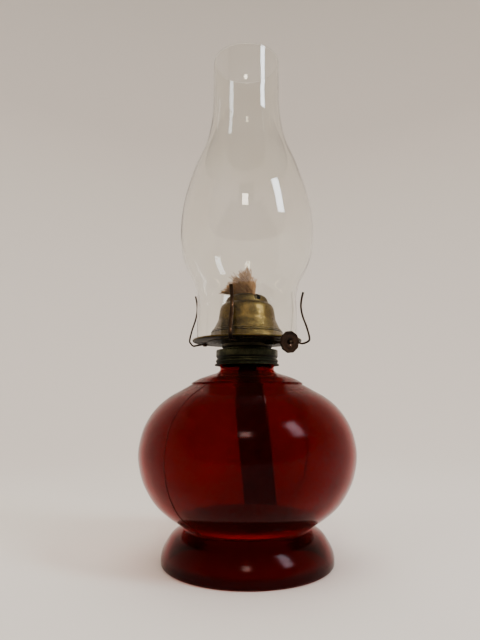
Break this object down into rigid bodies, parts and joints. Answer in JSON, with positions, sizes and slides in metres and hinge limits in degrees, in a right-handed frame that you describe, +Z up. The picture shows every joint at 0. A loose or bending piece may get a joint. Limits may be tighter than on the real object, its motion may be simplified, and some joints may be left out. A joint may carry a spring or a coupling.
{
  "type": "oil lamp",
  "caption": "Table oil lamp with a footed glass font, a screw-in flat-wick burner with a wick raiser, four sprung prongs and a bulged glass chimney.",
  "frame": {"origin": "on the table, under the middle of the foot", "axes": "+Z up along the lamp's axis, -Y the front; the raiser shaft leaves 29 degrees from the front towards +X"},
  "size_m": [0.1618, 0.1618, 0.3984],
  "materials": {
    "ruby_glass": "moulded ruby glass, lightly dusty",
    "clear_glass": "clear blown glass, fire polished, slightly smoky",
    "plaster": "setting plaster, matt",
    "collar_brass": "dark green-black tarnish, dull",
    "burner_brass": "aged olive-brown brass, satin, brighter edges",
    "prong_metal": "dark brown spring brass, satin",
    "raiser_metal": "dull brown brass wire",
    "thumb_wheel_metal": "reddish brown oxidised brass, satin",
    "wick_cotton": "woven cotton, scorched and frayed at the top"
  },
  "bodies": {
    "lamp_base": {"glass_foot": "ruby_glass", "glass_bowl": "ruby_glass", "collar_plaster": "plaster", "collar": "collar_brass"},
    "seat": {"seat_ring": "collar_brass"},
    "burner": {"burner_base": "burner_brass", "air_basket": "burner_brass", "gallery": "burner_brass", "dome": "burner_brass", "diffuser_plate": "burner_brass", "wick_tube": "burner_brass", "ratchet_housing": "burner_brass", "shaft_guard": "burner_brass", "prong_rivets": "prong_metal"},
    "raiser": {"raiser_shaft": "raiser_metal", "spur_wheel_inner": "raiser_metal", "spur_wheel_outer": "raiser_metal", "thumb_wheel": "thumb_wheel_metal"},
    "wick": {"wick": "wick_cotton", "wick_tail": "wick_cotton"},
    "chimney": {"chimney": "clear_glass"},
    "prong_front": {"prong_front": "prong_metal"},
    "prong_right": {"prong_right": "prong_metal"},
    "prong_back": {"prong_back": "prong_metal"},
    "prong_left": {"prong_left": "prong_metal"}
  },
  "joints": [
    {"name": "burner_turn", "type": "hinge", "parent": "seat", "child": "burner", "pos_m": [0, 0, 0.1546], "axis": [0, 0, 1], "range_deg": [0, 990]},
    {"name": "seat_rise", "type": "slide", "parent": "lamp_base", "child": "seat", "axis": [0, 0, 1], "range_m": [0, 0.00578]},
    {"name": "raiser_turn", "type": "hinge", "parent": "burner", "child": "raiser", "pos_m": [0.00516, 0.00286, 0.161], "axis": [-0.483, 0.8714, 0.0854], "range_deg": [-260.9, 130.7]},
    {"name": "wick_lift", "type": "slide", "parent": "burner", "child": "wick", "axis": [0, 0, 1], "range_m": [-0.02, 0.01], "deforming": ["wick_tail"]},
    {"name": "chimney_lift", "type": "slide", "parent": "burner", "child": "chimney", "axis": [0, 0, 1], "range_m": [0, 0.065]},
    {"name": "prong_front_flex", "type": "hinge", "parent": "burner", "child": "prong_front", "pos_m": [-0.01018, -0.03328, 0.1602], "axis": [0.9563, -0.2924, 0], "range_deg": [0, 5], "stiffness_Nm_per_rad": 0.03, "springref_deg": -2.86},
    {"name": "prong_right_flex", "type": "hinge", "parent": "burner", "child": "prong_right", "pos_m": [0.03328, -0.01018, 0.1602], "axis": [0.2924, 0.9563, 0], "range_deg": [0, 5], "stiffness_Nm_per_rad": 0.03, "springref_deg": -2.86},
    {"name": "prong_back_flex", "type": "hinge", "parent": "burner", "child": "prong_back", "pos_m": [0.01018, 0.03328, 0.1602], "axis": [-0.9563, 0.2924, 0], "range_deg": [0, 5], "stiffness_Nm_per_rad": 0.03, "springref_deg": -2.86},
    {"name": "prong_left_flex", "type": "hinge", "parent": "burner", "child": "prong_left", "pos_m": [-0.03328, 0.01018, 0.1602], "axis": [-0.2924, -0.9563, 0], "range_deg": [0, 5], "stiffness_Nm_per_rad": 0.03, "springref_deg": -2.86}
  ],
  "couplings": [
    {"joint": "seat_rise", "follows": "burner_turn", "m_per_rad": 0.00033423},
    {"joint": "raiser_turn", "follows": "wick_lift", "rad_per_m": 227.27}
  ]
}
